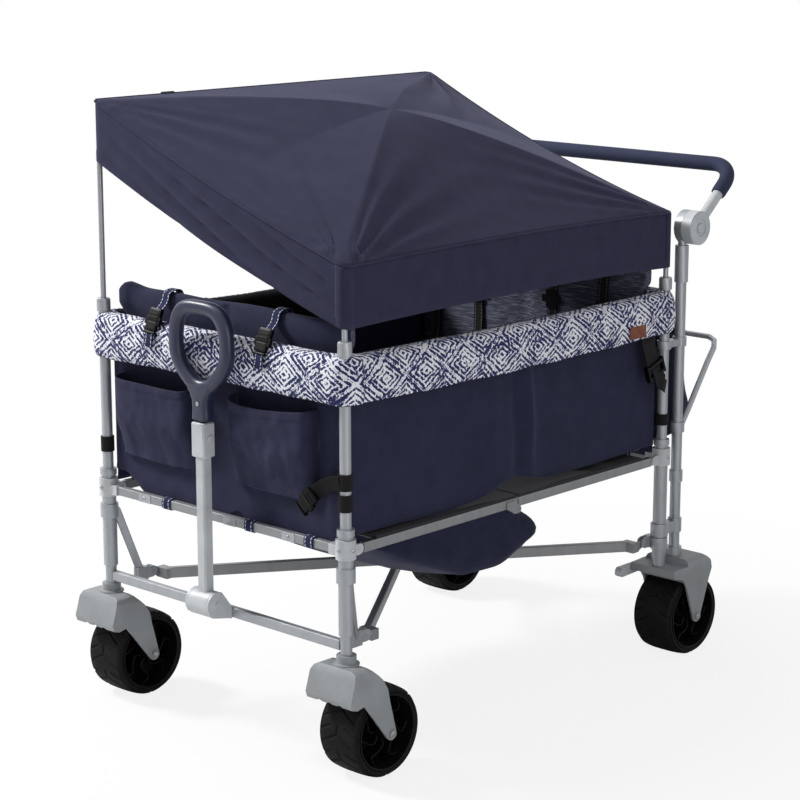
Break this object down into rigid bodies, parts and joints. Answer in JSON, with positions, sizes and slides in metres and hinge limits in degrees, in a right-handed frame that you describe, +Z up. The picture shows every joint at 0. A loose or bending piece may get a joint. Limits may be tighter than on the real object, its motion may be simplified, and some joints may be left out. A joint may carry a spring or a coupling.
{
  "type": "stroller wagon",
  "caption": "Folding four-seat stroller wagon: framed fabric box on swivel front and fixed rear wheels, tilting canopy, pull handle, push handle.",
  "frame": {"origin": "on the ground, under the middle of the bounding box", "axes": "+Z up, -Y towards the front with the pull handle, +X towards the near long side, where the canopy is low"},
  "size_m": [0.791, 1.2566, 1.2279],
  "materials": {
    "silver": "satin",
    "light_grey": "satin",
    "fork_grey": "satin",
    "black": "matte",
    "hub_black": "satin",
    "navy_plastic": "matte",
    "print": "woven, two colours",
    "navy": "woven"
  },
  "bodies": {
    "rear_frame": {"rear_post_near": "silver", "rear_post_far": "silver", "rear_floor_collar_near": "light_grey", "rear_floor_collar_far": "light_grey", "rear_end_bar": "silver", "rear_top_rail": "silver", "rear_fork_near": "fork_grey", "rear_fork_far": "fork_grey", "push_post_near": "silver", "push_post_far": "silver", "rear_u_bar": "silver", "rim_pad_rear": "print", "rear_panel": "navy", "rear_seat": "navy", "canopy_pole_rear_far": "silver", "side_panel_near": "navy", "side_panel_far": "navy", "rim_pad_near": "print", "rim_pad_far": "print", "basket": "navy"},
    "front_frame": {"front_post_near": "silver", "front_post_far": "silver", "front_floor_collar_near": "light_grey", "front_floor_collar_far": "light_grey", "front_end_bar": "silver", "front_top_rail": "silver", "front_cross_bar": "silver", "handle_pivot_block": "light_grey", "rim_pad_front": "print", "front_panel": "navy", "front_seat": "navy", "canopy_pole_front_far": "silver"},
    "floor_rear": {"floor_rear_half": "silver"},
    "floor_front": {"floor_front_half": "silver"},
    "brace_rear_half": {"brace_rear": "silver"},
    "brace_front_half": {"brace_front": "silver"},
    "caster_near": {"front_fork_near": "fork_grey"},
    "caster_far": {"front_fork_far": "fork_grey"},
    "front_wheel_near": {"front_tyre_near": "black", "front_hub_near": "hub_black"},
    "front_wheel_far": {"front_tyre_far": "black", "front_hub_far": "hub_black"},
    "rear_wheel_near": {"rear_tyre_near": "black", "rear_hub_near": "hub_black"},
    "rear_wheel_far": {"rear_tyre_far": "black", "rear_hub_far": "hub_black"},
    "pedal_near": {"brake_pedal_near": "light_grey"},
    "pedal_far": {"brake_pedal_far": "light_grey"},
    "pull_handle": {"handle_outer_tube": "light_grey"},
    "pull_grip": {"handle_grip": "navy_plastic"},
    "pull_button": {"handle_button": "light_grey"},
    "push_handle": {"push_handle_tube": "light_grey", "push_grip": "navy_plastic"},
    "push_button_near": {"hub_button_near": "light_grey"},
    "push_button_far": {"hub_button_far": "light_grey"},
    "canopy_top": {"canopy": "navy", "canopy_ribs": "silver"},
    "front_near_pole": {"canopy_pole_front_near": "silver"},
    "rear_near_pole": {"canopy_pole_rear_near": "silver"}
  },
  "joints": [
    {"name": "fold", "type": "hinge", "parent": "rear_frame", "child": "floor_rear", "pos_m": [0, 0.3707, 0.442], "axis": [-1, 0, 0], "range_deg": [0, 74], "deforming": ["side_panel_near", "side_panel_far", "rim_pad_near", "rim_pad_far", "front_seat", "rear_seat", "basket", "canopy", "canopy_ribs"]},
    {"name": "floor_mid", "type": "hinge", "parent": "floor_rear", "child": "floor_front", "pos_m": [0, -0.0793, 0.428], "axis": [1, 0, 0], "range_deg": [0, 148]},
    {"name": "front_frame_joint", "type": "hinge", "parent": "floor_front", "child": "front_frame", "pos_m": [0, -0.5293, 0.442], "axis": [-1, 0, 0], "range_deg": [0, 74]},
    {"name": "brace_rear_joint", "type": "hinge", "parent": "rear_frame", "child": "brace_rear_half", "pos_m": [0, 0.3707, 0.2586], "axis": [-1, 0, 0], "range_deg": [0, 76.5]},
    {"name": "brace_front_joint", "type": "hinge", "parent": "front_frame", "child": "brace_front_half", "pos_m": [0, -0.4793, 0.2586], "axis": [1, 0, 0], "range_deg": [0, 76.5]},
    {"name": "pull_handle_tilt", "type": "hinge", "parent": "front_frame", "child": "pull_handle", "pos_m": [0, -0.6023, 0.284], "axis": [1, 0, 0], "range_deg": [0, 85]},
    {"name": "pull_grip_slide", "type": "slide", "parent": "pull_handle", "child": "pull_grip", "axis": [0, 0, 1], "range_m": [0, 0.24]},
    {"name": "pull_button_press", "type": "slide", "parent": "pull_handle", "child": "pull_button", "axis": [-1, 0, 0], "range_m": [0, 0.0025], "stiffness_N_per_m": 300},
    {"name": "push_handle_angle", "type": "hinge", "parent": "rear_frame", "child": "push_handle", "pos_m": [0, 0.4727, 0.93], "axis": [1, 0, 0], "range_deg": [-70, 35]},
    {"name": "push_button_near_press", "type": "slide", "parent": "push_handle", "child": "push_button_near", "axis": [-1, 0, 0], "range_m": [0, 0.0025], "stiffness_N_per_m": 400},
    {"name": "push_button_far_press", "type": "slide", "parent": "push_handle", "child": "push_button_far", "axis": [1, 0, 0], "range_m": [0, 0.0025], "stiffness_N_per_m": 400},
    {"name": "canopy_tilt", "type": "hinge", "parent": "rear_frame", "child": "canopy_top", "pos_m": [-0.333, -0.0793, 1.208], "axis": [0, -1, 0], "range_deg": [0, 20.57], "deforming": ["canopy"]},
    {"name": "front_pole_slide", "type": "slide", "parent": "front_frame", "child": "front_near_pole", "axis": [0, 0, 1], "range_m": [0, 0.2505]},
    {"name": "rear_pole_slide", "type": "slide", "parent": "rear_frame", "child": "rear_near_pole", "axis": [0, 0, 1], "range_m": [0, 0.2505]},
    {"name": "caster_near_swivel", "type": "hinge", "parent": "front_frame", "child": "caster_near", "pos_m": [0.333, -0.5593, 0.228], "axis": [0, 0, 1], "continuous": true},
    {"name": "front_wheel_near_spin", "type": "hinge", "parent": "caster_near", "child": "front_wheel_near", "pos_m": [0.333, -0.4993, 0.08923], "axis": [1, 0, 0], "continuous": true},
    {"name": "rear_wheel_near_spin", "type": "hinge", "parent": "rear_frame", "child": "rear_wheel_near", "pos_m": [0.333, 0.4657, 0.08923], "axis": [1, 0, 0], "continuous": true},
    {"name": "brake_near_press", "type": "hinge", "parent": "rear_frame", "child": "pedal_near", "pos_m": [0.333, 0.4537, 0.188], "axis": [1, 0, 0], "range_deg": [0, 15]},
    {"name": "caster_far_swivel", "type": "hinge", "parent": "front_frame", "child": "caster_far", "pos_m": [-0.333, -0.5593, 0.228], "axis": [0, 0, 1], "continuous": true},
    {"name": "front_wheel_far_spin", "type": "hinge", "parent": "caster_far", "child": "front_wheel_far", "pos_m": [-0.333, -0.4993, 0.08923], "axis": [1, 0, 0], "continuous": true},
    {"name": "rear_wheel_far_spin", "type": "hinge", "parent": "rear_frame", "child": "rear_wheel_far", "pos_m": [-0.333, 0.4657, 0.08923], "axis": [1, 0, 0], "continuous": true},
    {"name": "brake_far_press", "type": "hinge", "parent": "rear_frame", "child": "pedal_far", "pos_m": [-0.333, 0.4537, 0.188], "axis": [1, 0, 0], "range_deg": [0, 15]}
  ],
  "couplings": [
    {"joint": "floor_mid", "follows": "fold", "ratio": 2},
    {"joint": "front_frame_joint", "follows": "fold", "ratio": 1},
    {"joint": "brace_rear_joint", "follows": "fold", "ratio": 1.033},
    {"joint": "brace_front_joint", "follows": "fold", "ratio": 1.033},
    {"joint": "front_pole_slide", "follows": "canopy_tilt", "m_per_rad": 0.6962},
    {"joint": "rear_pole_slide", "follows": "canopy_tilt", "m_per_rad": 0.6962}
  ]
}
